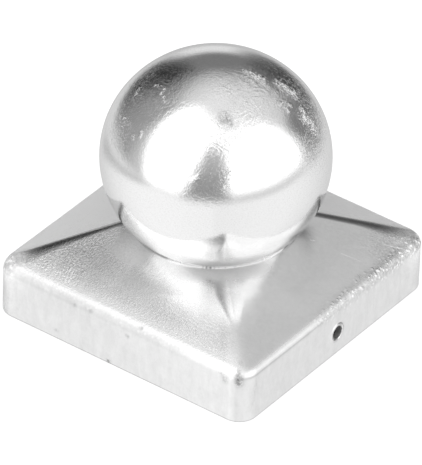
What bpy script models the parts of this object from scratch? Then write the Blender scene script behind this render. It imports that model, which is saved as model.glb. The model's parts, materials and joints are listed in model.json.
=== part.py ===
"""Ball-topped cap for a square fence post, in galvanised steel.

The cap is one pressed sheet: a low skirt that slips over the post, and a
pyramid crown whose four ridges start tight at the skirt's corners and soften
into a round seat.  A steel ball, a little flatter than it is wide, sits sunk in
that seat.  Metres, +Z up; the origin is the middle of the skirt's lower edge,
and the sides of the square face along X and Y.
"""

from math import cos, pi, radians, sin, sqrt, tan

import bmesh
import bpy

# The post that the cap slips over, and the sheet that the cap is pressed from
POST_WIDTH = 0.070
POST_CLEARANCE = 0.0005      # between the post and the skirt, on each side
SHEET = 0.0015

# The skirt and the crown; the bends are inside radii, as for any bent sheet
SKIRT_HEIGHT = 0.0138        # where the skirt's outer face would meet the crown's
CORNER_INSIDE_RADIUS = 0.0033
EAVES_INSIDE_RADIUS = 0.0015
CROWN_PITCH = radians(23.5)
SEAT_RADIUS = 0.0195         # where the crown meets the ball
SEAT_LIP_RISE = 0.0011       # how far the crown turns up towards the ball
SEAT_CORNER_SHARE = 0.925    # corner radius of the ring at the seat, 1 for a circle
RIDGE_SOFTENING = 8.0        # how late the ridges soften on their way to the ball
LIP_SHARPNESS = 8.0          # how close to the ball the crown turns up

# The ball
BALL_WIDTH = 0.0552
BALL_HEIGHT = 0.0524
SEAT_CLEARANCE = 0.0003      # between the ball and the edge of its opening

# The two screw holes, opposite each other in the skirt
HOLE_DIAMETER = 0.0035
HOLE_HEIGHT = 0.0063

# Fineness of the meshes
SIDE_STEPS = 6
CORNER_STEPS = 8
EAVES_STEPS = 5
CROWN_STEPS = 12
BALL_SEGMENTS = 64
BALL_RINGS = 32
HOLE_SIDES = 32
SHARP_ANGLE = radians(35)     # edges sharper than this stay crisp

# Sizes that follow
HALF_SIDE = POST_WIDTH / 2 + POST_CLEARANCE + SHEET
CORNER_RADIUS = CORNER_INSIDE_RADIUS + SHEET
EAVES_RADIUS = EAVES_INSIDE_RADIUS + SHEET
EAVES_TURN = pi / 2 - CROWN_PITCH                  # angle that the sheet bends through
EAVES_TANGENT = EAVES_RADIUS * tan(EAVES_TURN / 2)  # from the bend's edges to its corner
CROWN_RUN = HALF_SIDE - SEAT_RADIUS


def crown_height(half_side):
    """Height of the crown's outer face at a distance from the axis.

    A straight slope at the crown's pitch, plus a lip that is nothing at the
    skirt and grows as a power of the way in to the seat.
    """
    way_in = (HALF_SIDE - half_side) / CROWN_RUN
    slope = SKIRT_HEIGHT + (HALF_SIDE - half_side) * tan(CROWN_PITCH)
    return slope + SEAT_LIP_RISE * way_in ** LIP_SHARPNESS


def crown_corner_radius(half_side):
    """Corner radius of the crown's ring: tight at the skirt, round at the seat."""
    way_in = (HALF_SIDE - half_side) / CROWN_RUN
    seat_corner = SEAT_RADIUS * SEAT_CORNER_SHARE
    radius = CORNER_RADIUS + (seat_corner - CORNER_RADIUS) * way_in ** RIDGE_SOFTENING
    return min(radius, half_side * SEAT_CORNER_SHARE)


def cap_profile():
    """Rings of the cap's outer face from the lower edge inwards.

    Each is a half side, a corner radius and a height: two for the upright skirt,
    an arc for the eaves, then the crown, which runs on past the seat so that the
    ball's opening can be cut from it.
    """
    arc_centre = HALF_SIDE - EAVES_RADIUS
    arc_height = SKIRT_HEIGHT - EAVES_TANGENT
    rings = [(HALF_SIDE, CORNER_RADIUS, 0.0)]
    for step in range(EAVES_STEPS + 1):
        turn = EAVES_TURN * step / EAVES_STEPS
        half_side = arc_centre + EAVES_RADIUS * cos(turn)
        rings.append((half_side, CORNER_RADIUS, arc_height + EAVES_RADIUS * sin(turn)))
    crown_start = HALF_SIDE - EAVES_TANGENT * cos(CROWN_PITCH)
    crown_end = SEAT_RADIUS - 2 * SHEET
    for step in range(1, CROWN_STEPS + 1):
        half_side = crown_start + (crown_end - crown_start) * step / CROWN_STEPS
        rings.append((half_side, crown_corner_radius(half_side), crown_height(half_side)))
    return rings


def rounded_square(half_side, corner_radius, height):
    """Points of a level square ring with round corners, side by side, anticlockwise."""
    flat = half_side - corner_radius
    quarter = [(half_side, flat * (2 * step / SIDE_STEPS - 1)) for step in range(SIDE_STEPS)]
    for step in range(CORNER_STEPS):
        angle = pi / 2 * step / CORNER_STEPS
        quarter.append((flat + corner_radius * cos(angle), flat + corner_radius * sin(angle)))
    ring = []
    for turn in range(4):
        cosine, sine = ((1, 0), (0, 1), (-1, 0), (0, -1))[turn]
        ring += [(x * cosine - y * sine, x * sine + y * cosine, height) for x, y in quarter]
    return ring


def steel(name, colour, roughness):
    """Bare metal of one colour and roughness."""
    material = bpy.data.materials.new(name)
    material.use_nodes = True
    shader = material.node_tree.nodes["Principled BSDF"]
    shader.inputs["Base Color"].default_value = (*colour, 1.0)
    shader.inputs["Metallic"].default_value = 1.0
    shader.inputs["Roughness"].default_value = roughness
    material.diffuse_color = (*colour, 1.0)
    return material


def add_object(name, shape, collection, height=0.0, material=None):
    """Object in a collection, on the axis at a height, from a bmesh that is used up."""
    mesh = bpy.data.meshes.new(name)
    shape.to_mesh(mesh)
    shape.free()
    mesh.shade_smooth()
    mesh.set_sharp_from_angle(angle=SHARP_ANGLE)
    if material:
        mesh.materials.append(material)
    thing = bpy.data.objects.new(name, mesh)
    thing.location.z = height
    collection.objects.link(thing)
    return thing


def ball_centre_height():
    """Height of the ball's centre, whose surface meets the crown at the seat's radius."""
    rise = BALL_HEIGHT / 2 * sqrt(1 - (SEAT_RADIUS / (BALL_WIDTH / 2)) ** 2)
    return crown_height(SEAT_RADIUS) + rise


def ball_shape(growth=0.0):
    """A sphere flattened to the ball's sizes, larger all round when it is a cutter."""
    half_width = BALL_WIDTH / 2 + growth
    half_height = BALL_HEIGHT / 2 + growth
    shape = bmesh.new()
    bmesh.ops.create_uvsphere(shape, u_segments=BALL_SEGMENTS, v_segments=BALL_RINGS, radius=1.0)
    bmesh.ops.scale(shape, vec=(half_width, half_width, half_height), verts=shape.verts)
    return shape


def drill_shape():
    """A drill long enough for both sides of the skirt, upright until it is turned."""
    shape = bmesh.new()
    bmesh.ops.create_cone(
        shape,
        cap_ends=True,
        segments=HOLE_SIDES,
        radius1=HOLE_DIAMETER / 2,
        radius2=HOLE_DIAMETER / 2,
        depth=2 * (HALF_SIDE + SHEET),
    )
    return shape


def cap_shape():
    """The cap's outer face as an open loft between its rings."""
    shape = bmesh.new()
    rings = [[shape.verts.new(point) for point in rounded_square(*ring)] for ring in cap_profile()]
    count = len(rings[0])
    for lower, upper in zip(rings, rings[1:]):
        for i in range(count):
            j = (i + 1) % count
            shape.faces.new((lower[i], lower[j], upper[j], upper[i]))
    return shape


def cut(thing, cutter, name):
    """Take a cutter's shape out of a piece."""
    boolean = thing.modifiers.new(name, "BOOLEAN")
    boolean.operation = "DIFFERENCE"
    boolean.solver = "EXACT"
    boolean.object = cutter
    cutter.hide_render = True
    cutter.display_type = "WIRE"


def make_cap(parts, cutters):
    """The pressed cap: the loft thickened inwards, then opened for ball and screws."""
    sheet = steel("galvanised_sheet", (0.60, 0.61, 0.62), 0.42)
    cap = add_object("post_cap", cap_shape(), parts, material=sheet)
    wall = cap.modifiers.new("sheet", "SOLIDIFY")
    wall.thickness = SHEET
    wall.offset = -1.0
    wall.use_even_offset = True
    seat = add_object("seat_cutter", ball_shape(SEAT_CLEARANCE), cutters, ball_centre_height())
    cut(cap, seat, "seat")
    drill = add_object("drill", drill_shape(), cutters, HOLE_HEIGHT)
    drill.rotation_euler.y = pi / 2
    cut(cap, drill, "screw_holes")


def make_ball(parts):
    """The ball in its seat."""
    polished = steel("galvanised_ball", (0.64, 0.65, 0.66), 0.22)
    add_object("ball", ball_shape(), parts, ball_centre_height(), polished)


def main():
    for thing in list(bpy.data.objects):
        bpy.data.objects.remove(thing, do_unlink=True)
    parts = bpy.data.collections.new("ball_topped_post_cap")
    cutters = bpy.data.collections.new("cutters")
    bpy.context.scene.collection.children.link(parts)
    bpy.context.scene.collection.children.link(cutters)
    make_cap(parts, cutters)
    make_ball(parts)


main()
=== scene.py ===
"""Looks of a galvanised ball-topped cap for a square fence post.

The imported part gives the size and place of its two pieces.  This script makes
the finer surface of each: the pressed cap with its soft ridges, the low collar
in front of the ball, its zinc lumps and beads and the raised edges of its screw
holes, and the bright ball with its crusts.  Around them it sets a white table
and a studio of two large soft lights.
Metres, +Z up, in the part's own frame.
"""

import json
from math import cos, degrees, pi, radians, sin, sqrt, tan

import bpy
import numpy as np
from mathutils import Matrix, Vector

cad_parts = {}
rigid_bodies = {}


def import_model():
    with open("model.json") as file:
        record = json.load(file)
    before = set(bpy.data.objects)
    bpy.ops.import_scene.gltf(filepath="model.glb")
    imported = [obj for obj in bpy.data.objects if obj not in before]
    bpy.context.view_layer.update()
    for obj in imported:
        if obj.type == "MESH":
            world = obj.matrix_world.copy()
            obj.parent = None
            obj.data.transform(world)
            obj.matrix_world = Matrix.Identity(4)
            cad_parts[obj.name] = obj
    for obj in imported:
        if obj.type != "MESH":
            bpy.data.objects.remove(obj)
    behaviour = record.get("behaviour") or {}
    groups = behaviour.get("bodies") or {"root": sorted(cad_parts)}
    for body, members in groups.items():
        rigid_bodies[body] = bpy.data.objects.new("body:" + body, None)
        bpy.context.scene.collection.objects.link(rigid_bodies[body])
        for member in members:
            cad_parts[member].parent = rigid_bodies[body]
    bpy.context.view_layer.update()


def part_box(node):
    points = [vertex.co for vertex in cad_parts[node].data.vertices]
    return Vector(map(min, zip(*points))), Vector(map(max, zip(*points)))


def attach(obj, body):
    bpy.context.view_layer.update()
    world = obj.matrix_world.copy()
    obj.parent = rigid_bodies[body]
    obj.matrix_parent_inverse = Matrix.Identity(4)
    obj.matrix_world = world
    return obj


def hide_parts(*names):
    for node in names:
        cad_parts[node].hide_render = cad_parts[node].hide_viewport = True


for thing in list(bpy.data.objects):
    bpy.data.objects.remove(thing, do_unlink=True)

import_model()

MM = 0.001

# The photograph's camera
IMAGE_WIDTH = 422
IMAGE_HEIGHT = 465
VIEW_AZIMUTH = radians(35.81)
VIEW_ELEVATION = radians(36.03)
VIEW_ROLL = radians(1.83)
VIEW_DISTANCE = 1.66
PIXELS_PER_METRE = 4201.0
SENSOR = 36.0
AIM = Vector((0, 0, 20 * MM))
AIM_PIXEL = (213.6, 227.75)

# The cap, whose half side comes from the part's frame
HALF_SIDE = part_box("post_cap")[1].x
SHEET = 1.5 * MM
SKIRT_HEIGHT = 13.8 * MM
CORNER_RADIUS = 4.8 * MM
EAVES_RADIUS = 3.0 * MM
CROWN_PITCH = radians(23.5)
RIDGE_RADIUS = 2.2 * MM
RIDGE_RADIUS_AT_COLLAR = 6.5 * MM
SEAT_RADIUS = 19.5 * MM
COLLAR_AT_FACE = 27.9 * MM
COLLAR_AT_RIDGE = 27.0 * MM
COLLAR_BEHIND = 25.0 * MM
SLOPE_AT_FACE = -0.61
SLOPE_BEHIND = -0.25
SLOPE_AT_RIDGE = -0.08
RIM_ROUNDING = 0.35 * MM
HOLE_RADIUS = 1.75 * MM
HOLE_HEIGHT = 6.3 * MM
HOLE_EDGE_OUT = 0.35 * MM
HOLE_EDGE_WIDTH = 0.32 * MM
HOLE_EDGE_HEIGHT = 0.22 * MM

# The ball, from the part's frame
BALL_LOW, BALL_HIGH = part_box("ball")
BALL_CENTRE = (BALL_LOW + BALL_HIGH) / 2
BALL_HALF_WIDTH = (BALL_HIGH.x - BALL_LOW.x) / 2
BALL_HALF_HEIGHT = (BALL_HIGH.z - BALL_LOW.z) / 2
SEAT_HEIGHT = BALL_CENTRE.z - BALL_HALF_HEIGHT * sqrt(1 - (SEAT_RADIUS / BALL_HALF_WIDTH) ** 2)

# The zinc between crown and ball
FILLET_HEIGHT = 0.28 * MM
FILLET_REACH = 0.50 * MM
FILLET_GAP = 0.02 * MM

# The table, and the dark sheet of painted shade inside the cap
TABLE_SIDE = 800 * MM
TABLE_GLOW = 0.8
SHADE_SHEET_SIDE = 2 * (HALF_SIDE - SHEET) - 0.5 * MM
STAGE_GAP = 0.05 * MM

# Light of the studio's parts, with 1 for white
LOW_SKY = 0.46
HIGH_SKY = 0.84
RIGHT_SKY = 0.69
BACK_FAR_LEFT = 0.60
BACK_LEFT = 0.30
BACK_MIDDLE = 0.185
BACK_RIGHT = 0.40
DARK_AT_LEFT = 0.015
DARK_AT_RIGHT = 0.03
BRIGHT_PATCH = 0.80
LOW_GAP = 0.30
HIGH_GAP = 0.58
ABOVE_RIGHT_LIGHT = 1.0
LEFT_LIGHT = 1.6
RIGHT_LIGHT = 1.4
TABLE_BEHIND = 0.68
TABLE_AHEAD = 0.98
TABLE_SHADE = 0.55
BACKDROP = 1.05

# Fineness of the grids
SIDE_COLUMNS = 112
CORNER_COLUMNS = 48
RIM_ROWS = 4
SKIRT_ROWS = 30
EAVES_ROWS = 14
CROWN_ROWS = 62
FILLET_ROWS = 4
BALL_COLUMNS = 400
BALL_ROWS = 200

# The ball's marks: ends as turn and latitude, then width in millimetres and strength
BALL_CRUSTS = (
    ((24, 76), (19.5, 72.6), 0.8, 1.0),
    ((20, 73), (20.5, 67.3), 1.1, 1.0),
    ((3, 75), (6, 70.6), 1.0, 0.8),
    ((18, 66.4), (15, 63), 0.5, 0.7),
    ((31.3, 60.4), (29.3, 58.5), 0.5, 0.7),
    ((29.3, 58.5), (27.7, 54.8), 1.3, 1.0),
    ((27.7, 54.8), (28.7, 49.8), 1.4, 1.0),
    ((28.7, 49.8), (28.5, 47.1), 0.5, 0.8),
    ((7.1, 53.4), (13, 51.5), 0.4, 0.85),
    ((13, 51.5), (15, 48.4), 0.4, 0.9),
    ((9.7, 50.2), (8.5, 47.4), 0.4, 0.9),
    ((21.6, 42), (19.6, 38), 0.8, 1.0),
    ((18.2, 39.1), (19.6, 32.5), 1.5, 1.0),
    ((19.6, 32.5), (19.5, 28.7), 0.8, 1.0),
    ((-48, 29), (-49, 21), 0.9, 0.6),
    ((-66, 23), (-63, 25.5), 0.35, 0.7),
    ((-132, 57), (-127, 59), 0.35, 0.7),
    ((-120, 60), (-117, 57), 0.35, 0.7),
    ((-113, 57), (-107, 56), 0.35, 0.75),
    ((-127, 34.2), (-126, 33.8), 0.35, 0.75),
    ((-131, 33), (-131.5, 34), 0.3, 0.7),
    ((-107, 37), (-106, 34.5), 0.3, 0.9),
    ((-111, 32), (-110, 31.5), 0.4, 0.75),
    ((-141, 48), (-136, 45), 0.4, 0.65),
)
BALL_STAINS = (
    ((-48, 58), (-44, 53), 1.0, 1.0),
    ((-46, 55), (-50, 55), 1.2, 0.9),
)

# Films and pimples on the ball: middle as turn and latitude, then size and strength
BALL_HAZE = (
    ((-34, 73), 4.0, 0.9),
    ((2, 70), 5.0, 0.9),
    ((-16, 62), 5.0, 0.9),
    ((-34, 56), 4.0, 0.8),
    ((-47, 47), 4.5, 0.8),
    ((12, 58), 4.0, 0.8),
    ((-52, 27), 5.0, 0.15),
    ((-120, 55), 6.0, 0.45),
)
BALL_GRAIN = (
    ((36, 48), 8.0, 0.75),
    ((28, 34), 7.5, 1.0),
    ((12, 22), 7.0, 0.8),
    ((50, 62), 7.0, 0.5),
    ((-150, 52), 8.0, 0.5),
    ((-125, 30), 9.0, 0.55),
    ((-134, 45), 9.0, 0.5),
    ((-105, 70), 9.0, 0.4),
    ((165, 60), 8.0, 0.3),
    ((-62, 18), 8.0, 0.25),
)

# The cap's marks in millimetres: both ends, then width and strength
CAP_CRUSTS = (
    ((-16, -30, 16.8), (-15.6, -29.6, 17), 0.5, 0.8),
    ((31, 27, 15.5), (36, 33, 14), 1.0, 0.45),
    ((-36, -36, 13), (-33, -33.5, 15), 2.2, 0.3),
    ((-36.5, -36, 3), (-34, -37, 1), 1.6, 0.3),
)
CAP_STAINS = (
    ((34.6, -36.6, 13.4), (34.0, -35.3, 14.6), 0.7, 1.2),
    ((34.9, -36.3, 11.6), (34.7, -36.3, 12.9), 1.0, 1.0),
    ((33.2, -34.0, 15.2), (33.0, -33.5, 15.3), 0.6, 0.9),
    ((29, -37, 12.9), (30.6, -37, 12.6), 0.35, 0.9),
    ((31.1, -37, 11.8), (31.3, -37, 11.2), 0.8, 0.5),
    ((-13.1, -37, 12.3), (-13.2, -37, 12.2), 0.45, 0.4),
    ((-8.4, -37, 12.7), (-8.3, -37, 12.7), 0.45, 0.4),
    ((-18.5, -37, 2.5), (-18.2, -37, 2.5), 0.5, 0.4),
    ((-2.9, -37, 0.8), (-2.5, -37, 0.7), 0.5, 0.9),
    ((5.9, -35.9, 14.0), (6.0, -36.0, 14.0), 0.4, 0.7),
    ((2.6, -37, 10.7), (2.9, -37, 10.5), 0.5, 0.5),
    ((35.6, 0.5, 14.0), (36.0, 0.9, 13.9), 0.35, 1.0),
    ((36, 32, 14), (36.5, 35, 12), 1.6, 0.7),
    ((32.6, 31.6, 15.7), (36.2, 33.5, 14.2), 1.3, 0.9),
    ((36.2, 33.5, 14.2), (37, 32, 12.5), 0.8, 0.7),
    # The last stroke is an upright band of painted shade on the front corner's right side.
    ((37, -32.2, 11.2), (37, -33.4, 4.6), 0.9, 0.2),
)

# Pimples at the cap's corners in millimetres: middle, then size and strength
CAP_GRAIN = (
    ((36, 36, 12), 9.0, 0.5),
    ((-37, -37, 3), 6.0, 0.6),
    ((-35, -35, 14), 4.0, 0.8),
)

# Scratches on the cap in millimetres: both ends, then width
CAP_SCRATCHES = (
    ((-19.2, -30.5, 16.6), (-18.3, -33.9, 15.1), 0.2),
    ((-18.3, -30.4, 16.7), (-17.4, -33.7, 15.2), 0.2),
    ((33.1, 25.3, 15.5), (35.8, 27.9, 14.3), 0.2),
    ((20.0, 7.9, 21.4), (31.2, 21.0, 16.4), 0.14),
    ((27.8, 13.2, 17.8), (32.1, 15.6, 15.9), 0.12),
)


class Link:
    """An output of a node that can stand in arithmetic, which adds its Math nodes."""

    def __init__(self, tree, socket):
        self.tree = tree
        self.socket = socket

    def math(self, operation, first, second):
        return self.tree.node("ShaderNodeMath", {"operation": operation}, {0: first, 1: second})

    def larger(self, other):
        """The larger of this number and another."""
        return self.math("MAXIMUM", self, other)

    def __add__(self, other):
        return self.math("ADD", self, other)

    def __sub__(self, other):
        return self.math("SUBTRACT", self, other)

    def __rsub__(self, other):
        return self.math("SUBTRACT", other, self)

    def __mul__(self, other):
        return self.math("MULTIPLY", self, other)

    def __truediv__(self, other):
        return self.math("DIVIDE", self, other)

    def __pow__(self, other):
        return self.math("POWER", self, other)

    def __abs__(self):
        return self.math("ABSOLUTE", self, 0.0)

    __radd__ = __add__
    __rmul__ = __mul__


class Tree:
    """The node tree of a material or of the world."""

    def __init__(self, owner):
        owner.use_nodes = True
        self.nodes = owner.node_tree.nodes
        self.links = owner.node_tree.links

    def plug(self, value, target):
        """Set an input to a value, or run a link to it."""
        if isinstance(value, Link):
            self.links.new(value.socket, target)
        else:
            target.default_value = value

    def node(self, kind, settings=None, inputs=None, output=0):
        """Add a node: its settings first, then its inputs' values or links; gives an output."""
        made = self.nodes.new(kind)
        for name, value in (settings or {}).items():
            setattr(made, name, value)
        for name, value in (inputs or {}).items():
            self.plug(value, made.inputs[name])
        return Link(self, made.outputs[output])

    def step(self, value, low, high):
        """0 below a low value and 1 above a high one, smooth between."""
        return self.node(
            "ShaderNodeMapRange",
            {"interpolation_type": "SMOOTHSTEP"},
            {"Value": value, "From Min": low, "From Max": high},
        )

    def noise(self, place, size, detail=2.0, roughness=0.5, distortion=0.0):
        """Noise from 0 to 1 whose features measure about a size in metres."""
        return self.node(
            "ShaderNodeTexNoise",
            None,
            {
                "Vector": place,
                "Scale": 1 / size,
                "Detail": detail,
                "Roughness": roughness,
                "Distortion": distortion,
            },
        )

    def field(self, name):
        """A field that the piece's mesh carries."""
        return self.node("ShaderNodeAttribute", {"attribute_name": name}, output=2)

    def grey(self, level):
        """A neutral colour from a number."""
        return self.node("ShaderNodeCombineColor", None, {0: level, 1: level, 2: level})

    def parts(self, vector):
        """The three numbers of a vector."""
        return [self.node("ShaderNodeSeparateXYZ", None, {0: vector}, axis) for axis in range(3)]

    def vector(self, operation, first, second, output=0):
        """Vector arithmetic; output 1 is the number that some operations give."""
        return self.node(
            "ShaderNodeVectorMath", {"operation": operation}, {0: first, 1: second}, output
        )

    def line(self, place, start, end, width):
        """1 on the straight line between two places, fading to 0 at its width; millimetres."""
        start, run = Vector(start) * MM, (Vector(end) - Vector(start)) * MM
        from_start = self.vector("SUBTRACT", place, start)
        along = self.vector("DOT_PRODUCT", from_start, run / run.length_squared, 1)
        within = self.node(
            "ShaderNodeMath", {"operation": "MULTIPLY", "use_clamp": True}, {0: along, 1: 1.0}
        )
        nearest = self.node(
            "ShaderNodeVectorMath", {"operation": "SCALE"}, {0: tuple(run), "Scale": within}
        )
        away = self.vector("DISTANCE", from_start, nearest, 1)
        return 1 - self.step(away, 0.0, width * MM)

    def blend(self, amount, first, second):
        """A number that goes from a first value to a second one."""
        return self.node(
            "ShaderNodeMix",
            {"data_type": "FLOAT"},
            {"Factor": amount, 2: first, 3: second},
        )


def smooth(value, low, high):
    """0 below a low value and 1 above a high one, smooth between, for arrays."""
    part = np.clip((value - low) / (high - low), 0.0, 1.0)
    return part * part * (3 - 2 * part)


def lattice_value(cell, seed):
    """A fixed random number from -1 to 1 for each cell of a cubic lattice."""
    mixed = cell[..., 0] * 374761393 + cell[..., 1] * 668265263 + cell[..., 2] * 1440662683
    mixed = mixed + seed * 1013904223
    mixed = (mixed ^ (mixed >> 13)) * 1274126177
    mixed = mixed ^ (mixed >> 16)
    return (mixed & 0xFFFF) / 32767.5 - 1


def soft_noise(points, size, seed):
    """Noise from -1 to 1: the lattice's values, blended with smooth steps between its corners."""
    place = points / size
    cell = np.floor(place).astype(np.int64)
    part = place - cell
    part = part * part * (3 - 2 * part)
    total = 0.0
    for corner in np.ndindex(2, 2, 2):
        weight = np.where(corner, part, 1 - part).prod(axis=-1)
        total = total + weight * lattice_value(cell + np.array(corner), seed)
    return total


def surface_normals(points):
    """Unit normals of a grid of points, from the directions along its columns and rows.

    The columns close on themselves; the rows don't.
    """
    along = np.roll(points, -1, axis=1) - np.roll(points, 1, axis=1)
    across = np.gradient(points, axis=0)
    normal = np.cross(along, across)
    return normal / np.linalg.norm(normal, axis=-1, keepdims=True)


def grid_piece(name, points, rows_close, material, poles=(), fields=None):
    """An object from a grid of points whose columns close on themselves.

    The rows close too, like a ring's, or each end of them closes at a pole.
    """
    rows, columns = points.shape[:2]
    index = np.arange(rows * columns).reshape(rows, columns)
    lower = index if rows_close else index[:-1]
    upper = np.roll(index, -1, axis=0) if rows_close else index[1:]
    turned = [np.roll(lower, -1, axis=1), np.roll(upper, -1, axis=1)]
    faces = np.stack([lower, turned[0], turned[1], upper], axis=-1).reshape(-1, 4).tolist()
    corners = points.reshape(-1, 3)
    if poles:
        corners = np.vstack([corners, np.array(poles)])
        low_pole, high_pole = rows * columns, rows * columns + 1
        for i in range(columns):
            j = (i + 1) % columns
            faces.append((int(index[0, j]), int(index[0, i]), low_pole))
            faces.append((int(index[-1, i]), int(index[-1, j]), high_pole))
    mesh = bpy.data.meshes.new(name)
    mesh.from_pydata(corners.tolist(), [], faces)
    for field, values in (fields or {}).items():
        flat = np.zeros(len(corners), np.float32)
        flat[: rows * columns] = values.ravel()
        mesh.attributes.new(field, "FLOAT", "POINT").data.foreach_set("value", flat)
    mesh.shade_smooth()
    mesh.materials.append(material)
    piece = bpy.data.objects.new(name, mesh)
    bpy.context.scene.collection.objects.link(piece)
    return piece


# The cap's shape


def square_reach(x, y, radius):
    """Half side of the level square ring, its corners rounded to a radius, through a place.

    Beside a corner it is the larger of the two distances.  Within a corner it is
    the one root that puts the place on the corner's arc.
    """
    apart = np.abs(np.abs(x) - np.abs(y))
    both = np.abs(x) + np.abs(y)
    rounded = radius + (both - np.sqrt(np.maximum(2 * radius**2 - apart**2, 0))) / 2
    return np.where(apart < radius, rounded, np.maximum(np.abs(x), np.abs(y)))


def pyramid_top(x, y):
    """Height of the plain pyramid: it falls at the crown's pitch from level ring to ring.

    Its ridges get sharper on their way up, those at the sides most, but the front
    one is round at the collar.
    """
    largest = np.maximum(np.abs(x), np.abs(y))
    radius = RIDGE_RADIUS + (CORNER_RADIUS - RIDGE_RADIUS) * smooth(largest, 24 * MM, 34.5 * MM)
    rounder = (RIDGE_RADIUS_AT_COLLAR - RIDGE_RADIUS) * (1 - smooth(largest, 18 * MM, 28 * MM))
    radius = radius + rounder * smooth(x - y, 12 * MM, 30 * MM)
    aside = np.maximum(np.minimum(x, y), -np.maximum(x, y))
    sharper = 1.1 * MM - 0.75 * MM * smooth(aside, 18 * MM, 24 * MM)
    sharper = sharper * smooth(aside, 4 * MM, 10 * MM) * (1 - 0.65 * smooth(x + y, -5 * MM, 5 * MM))
    radius = radius - sharper * (1 - smooth(aside, 26 * MM, 32 * MM))
    return SKIRT_HEIGHT + (HALF_SIDE - square_reach(x, y, radius)) * tan(CROWN_PITCH)


def crown_top(x, y):
    """Height of the crown over a place: the pyramid, and a collar that rises from it to the ball.

    The collar follows a cubic curve along each line from the axis.  It leaves the
    pyramid at the pyramid's slope and meets the ball steeply at the middles of
    the two front faces, and nearly level at the ridge between them.  It fades
    out behind, where the plain pyramid reaches the ball.
    """
    reach, angle = np.hypot(x, y), np.arctan2(y, x)
    to_ridge = np.sin(2 * angle) ** 2
    front = smooth(np.degrees(angle), -125, -75) * (1 - smooth(np.degrees(angle), 0, 30))
    at_face = COLLAR_BEHIND + (COLLAR_AT_FACE - COLLAR_BEHIND) * front
    edge = at_face + (COLLAR_AT_RIDGE - at_face) * to_ridge
    span = edge - SEAT_RADIUS
    foot = pyramid_top(edge * np.cos(angle), edge * np.sin(angle))
    foot_slope = -tan(CROWN_PITCH) * np.maximum(np.abs(np.cos(angle)), np.abs(np.sin(angle)))
    at_face = SLOPE_BEHIND + (SLOPE_AT_FACE - SLOPE_BEHIND) * front
    seat_slope = at_face + (SLOPE_AT_RIDGE - at_face) * to_ridge
    out = np.clip((reach - SEAT_RADIUS) / span, -0.1, 1)
    collar = SEAT_HEIGHT + (foot - SEAT_HEIGHT) * out**2 * (3 - 2 * out)
    collar = collar + span * (seat_slope * out * (1 - out) ** 2 - foot_slope * out**2 * (1 - out))
    drawn = smooth(np.degrees(angle), -145, -95) * (1 - smooth(np.degrees(angle), 20, 50))
    plain = pyramid_top(x, y)
    return plain + (np.where(out < 1, collar, plain) - plain) * drawn


def ring_columns():
    """Along, angle and quarter of each column: where it lies on a level square ring.

    A quarter is a straight side, with along from -1 to 1, and then a round
    corner, with its angle from 0 to a right angle.
    """
    side = np.linspace(-1, 1, SIDE_COLUMNS, endpoint=False)
    corner = np.linspace(0, pi / 2, CORNER_COLUMNS, endpoint=False)
    along = np.r_[side, np.ones(CORNER_COLUMNS)]
    angle = np.r_[np.zeros(SIDE_COLUMNS), corner]
    quarter = np.repeat(np.arange(4), SIDE_COLUMNS + CORNER_COLUMNS)
    return np.tile(along, 4), np.tile(angle, 4), quarter


def ring_points(half_side, corner, height):
    """Points of level square rings from their half side, corner radius and height.

    Half side and height are one number for each row and column.  A point of the
    first quarter is the flat part times its along, plus the corner's radius turned
    by its angle; the other quarters are turned by right angles.
    """
    along, angle, quarter = ring_columns()
    flat = half_side - corner
    x = flat + corner * np.cos(angle)
    y = flat * along + corner * np.sin(angle)
    cosine = np.array([1, 0, -1, 0])[quarter]
    sine = np.array([0, 1, 0, -1])[quarter]
    return np.stack([x * cosine - y * sine, x * sine + y * cosine, height], axis=-1)


def eaves_radius():
    """The eaves' outer radius by column: wider along the front left side, tighter at the right."""
    _, angle, quarter = ring_columns()
    facing = quarter * pi / 2 + angle
    wider = 0.8 * MM * np.clip(-np.sin(facing), 0, 1)
    tighter = 0.9 * MM * np.clip(np.cos(facing), 0, 1)
    return EAVES_RADIUS + wider - tighter


def outer_face():
    """Grid of the smooth outer face, going up, and the ring where the crown meets the ball.

    The rows are the rim's rounding, the skirt and the eaves' bend as level rings,
    and then the crown.  Its columns run straight towards the axis, from the bend
    to the zinc before the ball.  The meeting ring is found by following the two
    heights in turn.
    """
    radius = eaves_radius()[None]
    bend_turn = pi / 2 - CROWN_PITCH
    tangent = radius * tan(bend_turn / 2)
    turn = np.linspace(0, pi / 2, RIM_ROWS)[:, None] + 0 * radius
    rim_side = HALF_SIDE - RIM_ROUNDING * (1 - np.sin(turn))
    rim_height = RIM_ROUNDING * (1 - np.cos(turn))
    up = np.linspace(0, 1, SKIRT_ROWS + 2)[1:-1, None]
    skirt_height = RIM_ROUNDING + (SKIRT_HEIGHT - tangent - RIM_ROUNDING) * up
    turn = np.linspace(0, bend_turn, EAVES_ROWS)[:, None]
    bend_side = HALF_SIDE - radius * (1 - np.cos(turn))
    bend_height = SKIRT_HEIGHT - tangent + radius * np.sin(turn)
    half_side = np.vstack([rim_side, HALF_SIDE + 0 * skirt_height, bend_side])
    height = np.vstack([rim_height, skirt_height, bend_height])
    rings = ring_points(half_side, CORNER_RADIUS, height)
    x, y = rings[-1, :, 0], rings[-1, :, 1]
    reach, angle = np.hypot(x, y), np.arctan2(y, x)
    contact = np.full(reach.shape, SEAT_RADIUS)
    for _ in range(20):
        fall = crown_top(contact * np.cos(angle), contact * np.sin(angle)) - BALL_CENTRE.z
        contact = BALL_HALF_WIDTH * np.sqrt(1 - (fall / BALL_HALF_HEIGHT) ** 2)
    way = np.linspace(0, 1, CROWN_ROWS + 1)[1:, None] ** 0.9
    reach = reach + (contact + FILLET_REACH - reach) * way
    x, y = reach * np.cos(angle), reach * np.sin(angle)
    crown = np.stack([x, y, crown_top(x, y)], axis=-1)
    x, y = contact * np.cos(angle), contact * np.sin(angle)
    return np.concatenate([rings, crown]), np.stack([x, y, crown_top(x, y)], axis=-1)


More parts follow.
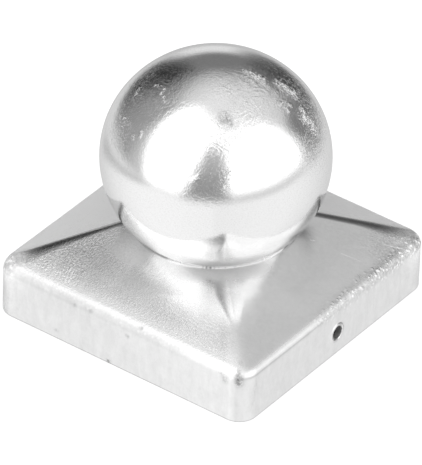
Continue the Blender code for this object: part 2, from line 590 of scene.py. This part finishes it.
def joint_fillet(last_ring, meeting):
    """Rows of the zinc between the crown's last ring and the ball, back down to where they meet.

    Each column is a quadratic curve, hollow towards the outside, that ends just
    clear of the ball.
    """
    angle = np.arctan2(meeting[:, 1], meeting[:, 0])
    top = meeting[:, 2] + FILLET_HEIGHT
    fall = (top - BALL_CENTRE.z) / BALL_HALF_HEIGHT
    radius = BALL_HALF_WIDTH * np.sqrt(1 - fall**2) + FILLET_GAP
    tip = np.stack([radius * np.cos(angle), radius * np.sin(angle), top], axis=-1)
    bend = 0.5 * meeting + 0.25 * tip + 0.25 * last_ring
    way = np.linspace(0, 1, FILLET_ROWS + 1)[1:, None, None]
    rows = (1 - way) ** 2 * last_ring + 2 * way * (1 - way) * bend + way**2 * tip
    return np.concatenate([rows, meeting[None]])


def fade(away, width):
    """A bell over a distance: 1 at none, and nearly nothing at twice the width."""
    return np.exp(-((away / width) ** 2))


def bell(points, place, size):
    """A bell round a place: 1 there, and nearly nothing at twice its size."""
    away = ((points - np.array(place) * MM) ** 2).sum(axis=-1)
    return np.exp(-away / (size * MM) ** 2)


def bells_cover(points, bells):
    """Cover of the points by bells: the strongest one, each with its place, size and strength."""
    cover = np.zeros(points.shape[:-1])
    for place, size, strength in bells:
        cover = np.maximum(cover, strength * bell(points, place, size))
    return cover


def strokes_cover(points, strokes):
    """Cover of the points by strokes: the strongest of bells round their middle lines.

    A stroke is its two ends, its width and its strength, in millimetres.
    """
    cover = np.zeros(points.shape[:-1])
    for start, end, width, strength in strokes:
        start, run = np.array(start) * MM, (np.array(end) - np.array(start)) * MM
        along = np.clip((points - start) @ run / (run @ run), 0, 1)
        away = ((points - start - along[..., None] * run) ** 2).sum(axis=-1)
        cover = np.maximum(cover, strength * np.exp(-away / (width * MM) ** 2))
    return cover


def zinc_lumps(points):
    """Height of the zinc that froze along the right eaves, from scattered round lumps."""
    draw = np.random.default_rng(7)
    height = np.zeros(points.shape[:2])
    for _ in range(70):
        run = 36 - 42 * draw.uniform() ** 1.25
        across = draw.normal(0.0, 0.9)
        place = (36.6 - max(across, 0) * 1.2, run, 13.3 + across * 0.6)
        size = draw.uniform(0.4, 0.75)
        tall = draw.uniform(0.04, 0.12) * MM
        height = np.maximum(height, tall * bell(points, place, size))
    return height


def hole_edge(points):
    """Height of the raised zinc round each screw hole: a ring that fades on both sides."""
    away = np.hypot(points[..., 1], points[..., 2] - HOLE_HEIGHT)
    on_side = np.abs(points[..., 0]) > HALF_SIDE - 2 * SHEET
    ring = fade(away - HOLE_RADIUS - HOLE_EDGE_OUT, HOLE_EDGE_WIDTH)
    return np.where(on_side, HOLE_EDGE_HEIGHT * ring, 0.0)


def in_millimetres(points):
    """The three coordinates of each point in millimetres."""
    return points[..., 0] / MM, points[..., 1] / MM, points[..., 2] / MM


def around_axis(points):
    """Distance from the axis in millimetres, and angle round it in degrees."""
    x, y, _ = in_millimetres(points)
    return np.hypot(x, y), np.degrees(np.arctan2(y, x))


def crown_cover(points):
    """1 on the crown and 0 on the skirt, smooth over the eaves' bend."""
    return smooth(points[..., 2] / MM, 13.4, 14.6)


def face_cover(ahead, aside, start=-3, end=3):
    """1 on one side of the square, from the distances ahead and aside, fading at the ridges."""
    return smooth(ahead - np.abs(aside), start, end)


def eaves_cover(points):
    """0 in the middle of the crown and 1 near the eaves."""
    x, y, _ = in_millimetres(points)
    return smooth(np.maximum(np.abs(x), np.abs(y)), 25, 33)


def grain_field(points):
    """The pimpled coat: on the front face, most of all at its left, and at three corners."""
    x, y, _ = in_millimetres(points)
    near_eaves = eaves_cover(points)
    front = np.maximum(0.12 + 0.33 * near_eaves, smooth(-x, 9, 20))
    front = face_cover(-y, x) * np.maximum(front, 0.45 * smooth(-x, 3, 9))
    front = front * (1 - 0.8 * smooth(x, 5, 16) * smooth(-y, 26, 22))
    left = 0.5 * face_cover(-x, y)
    right = face_cover(x, y) * (0.05 + 0.8 * smooth(y, 14, 26) * near_eaves)
    on_crown = crown_cover(points) * np.maximum(front, np.maximum(left, right))
    return np.maximum(on_crown, bells_cover(points, CAP_GRAIN))


def painted_shade_field(points):
    """Painted shade at the front face's left; a painted shade band and highlight column on the front
    corner.
    """
    x, _, _ = in_millimetres(points)
    angle = around_axis(points)[1]
    on_corner = (1 - crown_cover(points)) * smooth(x, 30, 31)
    bands = 0.45 * fade(angle + 46.7, 0.55) - 0.35 * fade(angle + 48.4, 0.35)
    return bell(points, (-17, -26, 18.5), 9.5) + on_corner * bands


def pale_field(points):
    """Duller sheet lit up by painted light: the faces behind, two corners and the front face's eaves
    strip.
    """
    x, y, _ = in_millimetres(points)
    crown = crown_cover(points)
    behind = (face_cover(-x, y, 1, 3.5) + 0.9 * face_cover(y, x, 1, 3.5)) * crown
    before_bend = 0.5 * face_cover(-y, x) * crown * smooth(-y, 31.0, 35.6)
    at_corners = bell(points, (-34.5, -34.0, 14.6), 4.5) + 0.6 * bell(points, (34.5, 33.5, 14.6), 5.0)
    return np.maximum(behind, np.maximum(at_corners, before_bend))


def seam_fields(points):
    """The seam round the ball: painted shade in its crevice, and a bright part of
    white zinc that also paints its highlight, with a few dark dashes.
    """
    from_axis, angle = around_axis(points)
    line = (1 - smooth(from_axis, 19.75, 20.1)) * crown_cover(points)
    in_front = smooth(angle, -89, -81) * (1 - smooth(angle, 0, 6))
    dashed = smooth(angle, -62, -60) * (1 - smooth(angle, -54, -52))
    dashes = dashed * (0.5 + 0.5 * np.cos(np.radians(130 * angle)))
    zinc_and_seam_highlight = line * in_front * (1 - dashes)
    return {"painted_seam_shade": line - zinc_and_seam_highlight, "zinc_and_seam_highlight": zinc_and_seam_highlight}


def collar_fields(points):
    """The sheet before the ball, by distance from the axis and angle round it.

    Collar is the frosted sheet; then a painted highlight round the front ridge
    with painted shade next to the ball, and painted shade beside that ridge.
    """
    crown = crown_cover(points)
    from_axis, angle = around_axis(points)
    collar = (1 - smooth(from_axis, 21.5, 24.5)) * crown * smooth(angle, -85, -60)
    collar = collar * (1 - smooth(angle, -30, -5))
    wedge = smooth(angle, -66, -56) * (1 - smooth(angle, -43, -36)) * crown
    collar = np.maximum(collar, 0.35 * wedge * (1 - smooth(from_axis, 29, 35)))
    collar = np.maximum(collar, 1.3 * bell(points, (-8.5, -18.8, 21.6), 5.0))
    around = smooth(angle, -104, -84) * (1 - smooth(angle, -22, -6)) * crown
    near_ridge = smooth(angle, -68, -52) * (1 - smooth(angle, -45, -30))
    ring = fade(from_axis - 29 - 4 * near_ridge, 5.0)
    painted_sheen_and_shade = around * ((0.65 + 0.75 * near_ridge) * ring - 0.5 * (1 - smooth(from_axis, 21, 25)))
    painted_ridge_shade = smooth(angle, -62, -55) * (1 - smooth(angle, -48.5, -46)) * crown
    painted_ridge_shade = painted_ridge_shade * smooth(from_axis, 22, 25) * (1 - smooth(from_axis, 31, 37))
    return {"collar": collar, "painted_sheen_and_shade": painted_sheen_and_shade, "painted_ridge_shade": painted_ridge_shade}


def eaves_fields(points):
    """The eaves' bend, by distance from its middle line.

    Row is its beads of zinc, then a painted highlight band along its right side
    and a dark line of painted shade below that, and bend its duller front side.
    """
    x, y, z = in_millimetres(points)
    row = fade(np.hypot(x - 36.2, z - 13.3), 1.8) * smooth(y, -14, 2) * (0.5 + 0.5 * smooth(y, 6, 22))
    row = np.maximum(row, 0.8 * bell(points, (-35, -35.5, 14.2), 3.5))
    row = np.maximum(row, 0.12 * fade(np.hypot(y + 36.2, z - 13.3), 1.2))
    on_right = smooth(x, 34, 35.5) * (1 - smooth(np.abs(y), 34.5, 37))
    painted_eaves_highlight = on_right * fade(np.hypot(x - 36.4, z - 13.8), 0.7) * (1 - 0.5 * smooth(y, 0, 20))
    painted_eaves_shade = on_right * fade(z - 12.7, 0.28) * (1 - 0.95 * smooth(y, -14, 4))
    bend = smooth(-y, 34.5, 35.6) * smooth(z, 11.5, 12.5) * (1 - smooth(x, 10, 28))
    return {"row": row, "painted_eaves_highlight": painted_eaves_highlight, "painted_eaves_shade": painted_eaves_shade, "bend": bend}


def cap_fields(points, lumps):
    """Where the cap's finish changes, as fields of about 0 to 1 over its outer face.

    Besides the fields of the seam, the collar and the eaves' bend, grain is a
    pimpled coat, crust white zinc ash, dull a dark rough spot, shade painted shade
    with a painted highlight column on the front corner, pale a duller sheet made
    lighter by painted light, eaves a painted sheen near the eaves and skirt the
    lighter part of the skirt.
    """
    x, y, _ = in_millimetres(points)
    crown = crown_cover(points)
    lighter = face_cover(-y, x) + 0.35 * face_cover(x, y)
    frozen = 0.7 * np.clip(lumps / (0.10 * MM), 0, 1)
    return {
        "grain": grain_field(points),
        "crust": np.maximum(frozen, strokes_cover(points, CAP_CRUSTS)),
        "dull": strokes_cover(points, CAP_STAINS),
        "shade": painted_shade_field(points),
        "pale": pale_field(points),
        # Painted sheen: the crown made lighter near the eaves, most on the front face.
        "eaves": eaves_cover(points) * lighter * crown,
        "skirt": (1 - crown) * smooth(x, -5, 30),
        **seam_fields(points),
        **collar_fields(points),
        **eaves_fields(points),
    }


def cap_grid():
    """Grid of the whole cap, up its outer face and down its inner one, and its fields."""
    smooth_face, meeting = outer_face()
    normal = surface_normals(smooth_face)
    waves = 0.05 * soft_noise(smooth_face, 15 * MM, 3) + 0.02 * soft_noise(smooth_face, 6 * MM, 4)
    waves *= smooth(np.hypot(smooth_face[..., 0], smooth_face[..., 1]), 20 * MM, 24 * MM)
    lumps = zinc_lumps(smooth_face)
    relief = waves * MM + lumps + hole_edge(smooth_face)
    relief[: RIM_ROWS + 1] = 0.0
    outer = smooth_face + relief[..., None] * normal
    outer = np.concatenate([outer, joint_fillet(outer[-1], meeting)])
    count = len(smooth_face)
    bend_row = RIM_ROWS + SKIRT_ROWS
    bend_end = bend_row + EAVES_ROWS
    inner_rows = np.r_[count - 1 : bend_end : -5, bend_end:bend_row:-3, bend_row:RIM_ROWS:-6, RIM_ROWS]
    inner = (smooth_face - SHEET * normal)[inner_rows]
    inner[-1, :, 2] = RIM_ROUNDING
    foot = inner[-1:].copy()
    foot[..., 2] = 0.0
    foot[..., :2] = (foot[..., :2] + outer[:1, :, :2]) / 2
    grid = np.concatenate([outer, inner, foot])
    fields = cap_fields(outer, np.vstack([lumps, np.zeros((FILLET_ROWS + 1, lumps.shape[1]))]))
    spare = np.zeros((len(grid) - len(outer), grid.shape[1]))
    return grid, {name: np.vstack([field, spare]) for name, field in fields.items()}


def cut_screw_holes(piece):
    """Drill through both sides of the skirt, along X, and keep the result as the mesh."""
    bpy.ops.mesh.primitive_cylinder_add(
        vertices=48,
        radius=HOLE_RADIUS,
        depth=2 * HALF_SIDE + 4 * SHEET,
        location=(0, 0, HOLE_HEIGHT),
        rotation=(0, pi / 2, 0),
    )
    drill = bpy.context.object
    cut = piece.modifiers.new("screw holes", "BOOLEAN")
    cut.operation = "DIFFERENCE"
    cut.solver = "EXACT"
    cut.object = drill
    graph = bpy.context.evaluated_depsgraph_get()
    drilled = bpy.data.meshes.new_from_object(piece.evaluated_get(graph))
    piece.modifiers.clear()
    piece.data = drilled
    bpy.data.objects.remove(drill, do_unlink=True)


# The ball's shape


def on_ball(turn, latitude):
    """Place on the ball in millimetres, from its turn round the axis and its latitude in degrees."""
    turn, latitude = radians(turn), radians(latitude)
    return (
        (BALL_CENTRE.x + BALL_HALF_WIDTH * cos(latitude) * cos(turn)) / MM,
        (BALL_CENTRE.y + BALL_HALF_WIDTH * cos(latitude) * sin(turn)) / MM,
        (BALL_CENTRE.z + BALL_HALF_HEIGHT * sin(latitude)) / MM,
    )


def ball_strokes(strokes):
    """Strokes whose ends are given as a turn and a latitude on the ball."""
    return [(on_ball(*start), on_ball(*end), width, strength) for start, end, width, strength in strokes]


def ball_bells(bells):
    """Bells whose places are given as a turn and a latitude on the ball."""
    return [(on_ball(*place), size, strength) for place, size, strength in bells]


def ball_grid():
    """Grid of the ball, a sphere flattened to its height, its poles and its fields.

    Crust is white zinc ash, haze is a finely scratched film, dull is a dark rough
    spot and grain is a pimpled coat.
    """
    turn = np.linspace(0, 2 * pi, BALL_COLUMNS, endpoint=False)[None]
    lift = np.linspace(-pi / 2, pi / 2, BALL_ROWS + 2)[1:-1, None]
    x = BALL_HALF_WIDTH * np.cos(lift) * np.cos(turn)
    y = BALL_HALF_WIDTH * np.cos(lift) * np.sin(turn)
    z = BALL_HALF_HEIGHT * np.sin(lift) + 0 * turn
    smooth_face = np.stack([x, y, z], axis=-1)
    normal = smooth_face / np.array([BALL_HALF_WIDTH, BALL_HALF_WIDTH, BALL_HALF_HEIGHT]) ** 2
    normal /= np.linalg.norm(normal, axis=-1, keepdims=True)
    place = smooth_face + np.array(BALL_CENTRE)
    crust = strokes_cover(place, ball_strokes(BALL_CRUSTS))
    waves = 0.02 * soft_noise(place, 9 * MM, 11)
    lumps = np.clip(crust, 0, 1) * (0.09 + 0.09 * soft_noise(place, 0.9 * MM, 12))
    points = place + ((waves + lumps) * MM)[..., None] * normal
    ends = [points[0].mean(axis=0), points[-1].mean(axis=0)]
    fields = {
        "crust": crust,
        "haze": bells_cover(place, ball_bells(BALL_HAZE)),
        "dull": strokes_cover(place, ball_strokes(BALL_STAINS)),
        "grain": bells_cover(place, ball_bells(BALL_GRAIN)),
    }
    return points, [tuple(end) for end in ends], fields


# Materials


def make_zinc(name):
    """A material of bright zinc, its node tree and its shader."""
    material = bpy.data.materials.new(name)
    tree = Tree(material)
    shader = tree.nodes["Principled BSDF"]
    shader.inputs["Metallic"].default_value = 1.0
    return material, tree, shader


def zinc_ash(tree, place, cover):
    """Where white zinc ash lies: its cover, broken up by a fine noise."""
    crumbs = tree.noise(place, 0.45 * MM, 4.0, 0.75, 0.8)
    return tree.step(0.62 * cover + 5.0 * (crumbs - 0.5), 0.38, 0.62) * tree.step(cover, 0.05, 0.25)


def ball_zinc():
    """The ball's coat: a mirror with a fine grain, worm lines, white crusts and dull spots.

    What isn't metal is a milky film: the crusts, specks where the coat is grainy,
    and thin curved lines where it is hazy.
    """
    material, tree, shader = make_zinc("galvanised_ball")
    place = tree.node("ShaderNodeTexCoord", output="Object")
    crust, haze, dull, grain = (tree.field(name) for name in ("crust", "haze", "dull", "grain"))
    ash = zinc_ash(tree, place, crust.larger(0.19 * grain))
    specks = tree.step(tree.noise(place, 0.36 * MM, 2.0, 0.7, 0.3), 0.47, 0.68)
    contours = abs(tree.noise(place, 1.5 * MM, 2.0, 0.5, 1.2) - 0.5)
    worms = 1 - tree.step(contours, 0.01, 0.07)
    rings = tree.noise(place, 6.0 * MM, 1.0, 0.4, 0.6) * 52.0
    rings = rings.math("SINE", rings, 0.0)
    wrinkles = tree.noise(place, 0.8 * MM, 3.0, 0.65, 1.0)
    spots = dull * tree.step(wrinkles, 0.35, 0.6)
    film = specks * (0.07 + 0.17 * grain + 0.12 * haze) + worms * (0.03 + 0.12 * haze)
    film = film + 0.12 * haze * tree.step(rings, 0.2, 0.9)
    milky = ash.larger(film)
    tone = 0.87 - 0.6 * spots + 0.04 * (wrinkles - 0.5) - (0.03 + 0.32 * haze) * (specks - 0.4)
    tree.plug(tree.grey(tree.blend(milky, tone, 0.97)), shader.inputs["Base Color"])
    tree.plug(1 - 0.90 * milky, shader.inputs["Metallic"])
    rough = 0.105 + 0.08 * haze + 0.25 * spots + 0.5 * ash + 0.06 * grain
    tree.plug(rough, shader.inputs["Roughness"])
    height = wrinkles * (0.05 + 0.55 * grain + 0.55 * haze) + 0.10 * haze * rings + 0.5 * ash
    bump = tree.node("ShaderNodeBump", None, {"Height": height, "Distance": 0.2 * MM})
    tree.plug(bump, shader.inputs["Normal"])
    return material


def hole_covers(tree, outward, across, above):
    """The raised rim round each screw hole and the hole's bore, by distance from the hole's axis."""
    middle, width, blur = 2.2 * MM, 0.5 * MM, 0.1 * MM
    on_side = tree.step(abs(outward), HALF_SIDE - SHEET - blur, HALF_SIDE - SHEET)
    from_hole = (across ** 2.0 + (above - HOLE_HEIGHT) ** 2.0) ** 0.5
    rim = on_side * (1 - tree.step(abs(from_hole - middle), 0.0, width))
    bore = on_side * (1 - tree.step(from_hole, HOLE_RADIUS, HOLE_RADIUS + blur))
    return rim, bore


def scratch_cover(tree, place):
    """The strongest of the cap's scratches at a place."""
    lines = [tree.line(place, start, end, width) for start, end, width in CAP_SCRATCHES]
    cover = lines[0]
    for line in lines[1:]:
        cover = cover.larger(line)
    return cover


def cap_zinc():
    """The cap's coat: satin zinc, pimpled near the eaves, with ash, stains and scratches, and painted
    highlights and shade.
    """
    material, tree, shader = make_zinc("galvanised_sheet")
    place = tree.node("ShaderNodeTexCoord", output="Object")
    # The seam's dark field is painted shade in the crevice round the ball.
    crust, dull, grain, painted_seam_shade = (tree.field(name) for name in ("crust", "dull", "grain", "painted_seam_shade"))
    zinc_and_seam_highlight, collar, shade = (tree.field(name) for name in ("zinc_and_seam_highlight", "collar", "shade"))
    pale, row, painted_eaves_highlight, painted_eaves_shade = (tree.field(name) for name in ("pale", "row", "painted_eaves_highlight", "painted_eaves_shade"))
    bend, eaves, painted_sheen_and_shade, painted_ridge_shade = (tree.field(name) for name in ("bend", "eaves", "painted_sheen_and_shade", "painted_ridge_shade"))
    skirt = tree.field("skirt")
    outward, across, above = tree.parts(place)
    rim, bore = hole_covers(tree, outward, across, above)
    crown = tree.step(above, 13.2 * MM, 15.0 * MM)
    ash = zinc_ash(tree, place, crust)
    pimples = tree.noise(place, 0.5 * MM, 3.0, 0.65, 0.4)
    wrinkles = tree.noise(place, 1.4 * MM, 3.0, 0.6, 1.0)
    clouds = tree.noise(place, 5.0 * MM, 4.0, 0.6, 0.8)
    white = (0.6 * ash).larger(0.8 * scratch_cover(tree, place))
    # The seam's bright field is white zinc that also paints the seam's highlight.
    white = white.larger(zinc_and_seam_highlight * tree.step(wrinkles, 0.30, 0.48))
    spots = dull * tree.step(pimples + wrinkles, 0.75, 1.15)
    # Painted shade: a dark line along the skirt's bottom edge.
    foot = 1 - tree.step(above, 0.15 * MM, 0.55 * MM)
    stipple = tree.noise(place, 0.36 * MM, 2.0, 0.7, 0.3) - 0.5
    crumbs = tree.noise(place, 0.85 * MM, 2.0, 0.65, 0.4)
    cells = tree.node("ShaderNodeTexVoronoi", None, {"Vector": place, "Scale": 1 / (1.15 * MM)})
    beads = 1 - tree.step(cells, 0.16, 0.46)
    tall = tree.node("ShaderNodeMapping", None, {"Vector": place, "Scale": (1.0, 1.0, 0.35)})
    runs = tree.noise(tall, 2.2 * MM, 4.0, 0.65, 0.5) - 0.5
    # The eaves field paints a sheen near the eaves into the tone.
    tone = tree.blend(crown, 0.82, 0.725) + 0.10 * (clouds - 0.5) + 0.10 * (wrinkles - 0.5)
    # Along the right eaves, a painted highlight band and a dark line of painted shade below it.
    tone = tone - 0.6 * spots + 0.27 * pale + 0.17 * eaves + 0.10 * painted_eaves_highlight - 0.25 * painted_eaves_shade
    # A painted highlight round the front ridge, painted shade next to the ball and beside the ridge.
    tone = tone - 0.09 * bend + 0.12 * painted_sheen_and_shade - 0.10 * painted_ridge_shade + 0.05 * skirt
    # The shade field is painted shade, with a painted highlight column on the front corner.
    tone = tone - 0.40 * foot - 0.35 * painted_seam_shade - 0.14 * shade + grain * (0.8 * stipple + 0.04)
    tone = tone + row * (0.9 * (crumbs - 0.5) + 0.5 * (beads - 0.4)) + (1 - crown) * 0.22 * runs
    tree.plug(tree.grey(tree.blend(white, tone, 0.92)), shader.inputs["Base Color"])
    # The pale sheet is duller and less metal; its lighter tone is painted light.
    metal = 1 - 0.8 * white - 0.3 * spots - 0.45 * collar - 0.7 * pale - 0.5 * painted_eaves_highlight - 0.1 * bore
    metal = metal - 0.6 * row * beads
    tree.plug(metal, shader.inputs["Metallic"])
    rough = tree.blend(crown, 0.38, 0.20) + 0.10 * (clouds - 0.5) + 0.2 * spots + 0.3 * ash
    rough = rough + 0.22 * collar + 0.12 * pale + 0.10 * row + 0.08 * bend
    tree.plug(rough, shader.inputs["Roughness"])
    height = pimples * (0.03 + 0.6 * grain) + 0.06 * wrinkles + 0.3 * ash
    height = height + row * (0.9 * crumbs + 0.9 * beads) + 1.2 * rim
    bump = tree.node("ShaderNodeBump", None, {"Height": height, "Distance": 0.2 * MM})
    tree.plug(bump, shader.inputs["Normal"])
    return material


# Table, studio and camera


def stage_plane(name, side, height, material):
    """A level square of one material round the axis, at a height."""
    bpy.ops.mesh.primitive_plane_add(size=side, location=(0, 0, height))
    plane = bpy.context.object
    plane.name = name
    plane.data.materials.append(material)
    return plane


def make_table():
    """A white table, lit from within enough to stay white near the cap.

    Mirrors don't see it, because the studio's light stands for it there.
    """
    white = bpy.data.materials.new("white_table")
    shader = Tree(white).nodes["Principled BSDF"]
    shader.inputs["Base Color"].default_value = (0.4, 0.4, 0.4, 1.0)
    shader.inputs["Roughness"].default_value = 0.9
    shader.inputs["Specular IOR Level"].default_value = 0.0
    shader.inputs["Emission Color"].default_value = (1.0, 1.0, 1.0, 1.0)
    shader.inputs["Emission Strength"].default_value = TABLE_GLOW
    table = stage_plane("table", TABLE_SIDE, -STAGE_GAP, white)
    table.visible_glossy = False


def make_shade_sheet():
    """A dark sheet inside the cap, painted shade for the screw holes to look into."""
    dark = bpy.data.materials.new("shade_under_the_cap")
    shader = Tree(dark).nodes["Principled BSDF"]
    shader.inputs["Base Color"].default_value = (0.03, 0.03, 0.03, 1.0)
    floor = stage_plane("painted_shade_under_the_cap", SHADE_SHEET_SIDE, STAGE_GAP, dark)


class Sky:
    """Directions of the studio's light, and soft-edged areas of them, all in degrees.

    Turn is the angle round the cap from the direction away from the camera, to
    the right, and rise the angle above the table.
    """

    def __init__(self, tree):
        self.tree = tree
        toward = tree.node("ShaderNodeTexCoord", output="Generated")
        turned = tree.node(
            "ShaderNodeMapping",
            None,
            {"Vector": toward, "Rotation": (0, 0, -VIEW_AZIMUTH)},
        )
        aside, ahead, high = tree.parts(turned)
        self.turn = aside.math("ARCTAN2", aside, ahead) * degrees(1)
        self.rise = high.math("ARCSINE", high, 0.0) * degrees(1)

    def area(self, sides, heights, soft, leans=(0.0, 0.0), bow=0.0):
        """1 between two sides and two heights, with soft edges.

        The sides lean by an angle for each degree of rise, and the left one can
        bow with the square of the rise.
        """
        tree, rise = self.tree, self.rise
        middle = (sides[0] + sides[1]) / 2
        away = tree.node(
            "ShaderNodeMath",
            {"operation": "WRAP"},
            {0: self.turn - middle, 1: 180.0, 2: -180.0},
        )
        left = sides[0] - middle + leans[0] * rise + bow * rise * rise
        right = sides[1] - middle + leans[1] * rise
        across = tree.step((away - left) / soft[0], -1.0, 1.0)
        across = across * (1 - tree.step((away - right) / soft[0], -1.0, 1.0))
        low, high = heights
        up = tree.step(rise, low - soft[1], low + soft[1])
        return across * up * (1 - tree.step(rise, high - soft[1], high + soft[1]))


def room_light(sky):
    """Light from above, and from the dark room behind the cap, whose top falls to the right.

    The room's light goes by the turn, with two darker strips and a bright patch
    laid over it.
    """
    tree, turn, rise = sky.tree, sky.turn, sky.rise
    light = tree.blend(tree.step(rise, 38.0, 84.0), LOW_SKY, HIGH_SKY)
    light = tree.blend(sky.area((36, 96), (22, 72), (14, 8)), light, RIGHT_SKY)
    room = tree.blend(tree.step(turn, -100.0, -74.0), BACK_FAR_LEFT, BACK_LEFT)
    room = tree.blend(tree.step(turn, -70.0, -46.0), room, BACK_MIDDLE)
    room = tree.blend(sky.area((-43, -19), (-90, 40), (8, 9)), room, DARK_AT_LEFT)
    room = tree.blend(sky.area((16, 42), (-90, 28), (7, 10)), room, DARK_AT_RIGHT)
    room = tree.blend(tree.step(turn, 70.0, 92.0), room, BACK_RIGHT)
    room = tree.blend(sky.area((-14, 7), (-16, 11), (6, 6)), room, BRIGHT_PATCH)
    top = 53.0 - 7.0 * tree.step(turn, -50.0, 0.0) - 19.0 * tree.step(turn, 0.0, 85.0)
    return tree.blend(sky.area((-108, 90), (-90, top), (5, 8), (0.33, 0.1)), light, room)


def soft_lights(sky, light):
    """A light with the studio's two large soft lights laid over it.

    Between them, behind the camera, is a dimmer gap, and above the right one and
    the gap more white.
    """
    tree = sky.tree
    gap = tree.blend(tree.step(sky.rise, 8.0, 60.0), LOW_GAP, HIGH_GAP)
    light = tree.blend(sky.area((166, 211), (-90, 70), (6, 8), (0.08, -0.38)), light, gap)
    light = tree.blend(sky.area((112, 192), (50, 70), (10, 6)), light, ABOVE_RIGHT_LIGHT)
    light = tree.blend(sky.area((-151, -107), (-8, 77), (8, 9), (-0.31, 0.40)), light, LEFT_LIGHT)
    return tree.blend(sky.area((81, 167), (-3, 57), (8, 8), (0.0, 0.06), 0.005), light, RIGHT_LIGHT)


def table_light(sky):
    """What mirrors see of the table: brighter towards the camera, with a darker patch and line.

    The line lies where the rise and a share of the turn add up to a fixed angle.
    """
    tree, turn, rise = sky.tree, sky.turn, sky.rise
    light = tree.blend(tree.step(abs(turn), 15.0, 115.0), TABLE_BEHIND, TABLE_AHEAD)
    light = light + 0.05 * (1 - tree.step(turn, -70.0, -10.0))
    light = light - 0.04 * tree.step(abs(turn), 130.0, 180.0)
    light = tree.blend(sky.area((-13, 13), (-34, -8), (6, 5)), light, TABLE_SHADE)
    from_line = abs((rise + 34.1 + 0.22 * turn) / 4.0)
    line = (1 - tree.step(from_line, 0.0, 1.6)) * sky.area((-112, -36), (-90, 0), (14, 5))
    return light * (1 - 0.40 * line)


def make_studio():
    """World light by direction: the room and its lights above the table's light.

    The camera itself sees a white backdrop instead.
    """
    world = bpy.data.worlds.new("studio")
    bpy.context.scene.world = world
    tree = Tree(world)
    sky = Sky(tree)
    light = soft_lights(sky, room_light(sky))
    lower = 4.0 * tree.step(sky.turn, 5.0, 20.0) * (1 - tree.step(sky.turn, 50.0, 75.0))
    light = tree.blend(tree.step(sky.rise + lower, -14.0, -3.0), table_light(sky), light)
    seen = tree.node("ShaderNodeLightPath", output="Is Camera Ray")
    light = tree.blend(seen, light, BACKDROP)
    tree.plug(light, tree.nodes["Background"].inputs["Color"])


def make_camera():
    """Camera at the photograph's angle, with its image's middle beside the aim."""
    azimuth, elevation = VIEW_AZIMUTH, VIEW_ELEVATION
    back = Vector(
        (sin(azimuth) * cos(elevation), -cos(azimuth) * cos(elevation), sin(elevation))
    )
    level = Vector((cos(azimuth), sin(azimuth), 0))
    upright = back.cross(level)
    right = cos(VIEW_ROLL) * level + sin(VIEW_ROLL) * upright
    up = -sin(VIEW_ROLL) * level + cos(VIEW_ROLL) * upright
    aside = (IMAGE_WIDTH / 2 - AIM_PIXEL[0]) / PIXELS_PER_METRE
    above = (AIM_PIXEL[1] - IMAGE_HEIGHT / 2) / PIXELS_PER_METRE
    data = bpy.data.cameras.new("camera")
    data.sensor_width = SENSOR
    data.lens = PIXELS_PER_METRE * VIEW_DISTANCE / IMAGE_HEIGHT * SENSOR
    data.clip_start = 0.1
    data.clip_end = 20.0
    camera = bpy.data.objects.new("camera", data)
    bpy.context.scene.collection.objects.link(camera)
    turned = Matrix((right, up, back)).transposed().to_4x4()
    place = AIM + VIEW_DISTANCE * back + aside * right + above * up
    camera.matrix_world = Matrix.Translation(place) @ turned
    bpy.context.scene.camera = camera


def make_cap():
    """The pressed cap, drilled for its screws."""
    grid, fields = cap_grid()
    cap = grid_piece("pressed_cap", grid, True, cap_zinc(), (), fields)
    cut_screw_holes(cap)
    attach(cap, "root")
    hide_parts("post_cap")


def make_ball():
    """The ball in its seat."""
    grid, poles, fields = ball_grid()
    ball = grid_piece("steel_ball", grid, False, ball_zinc(), poles, fields)
    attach(ball, "root")
    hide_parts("ball")


make_table()
make_shade_sheet()
make_studio()
make_camera()
make_cap()
make_ball()

bpy.context.scene.view_settings.view_transform = "Standard"
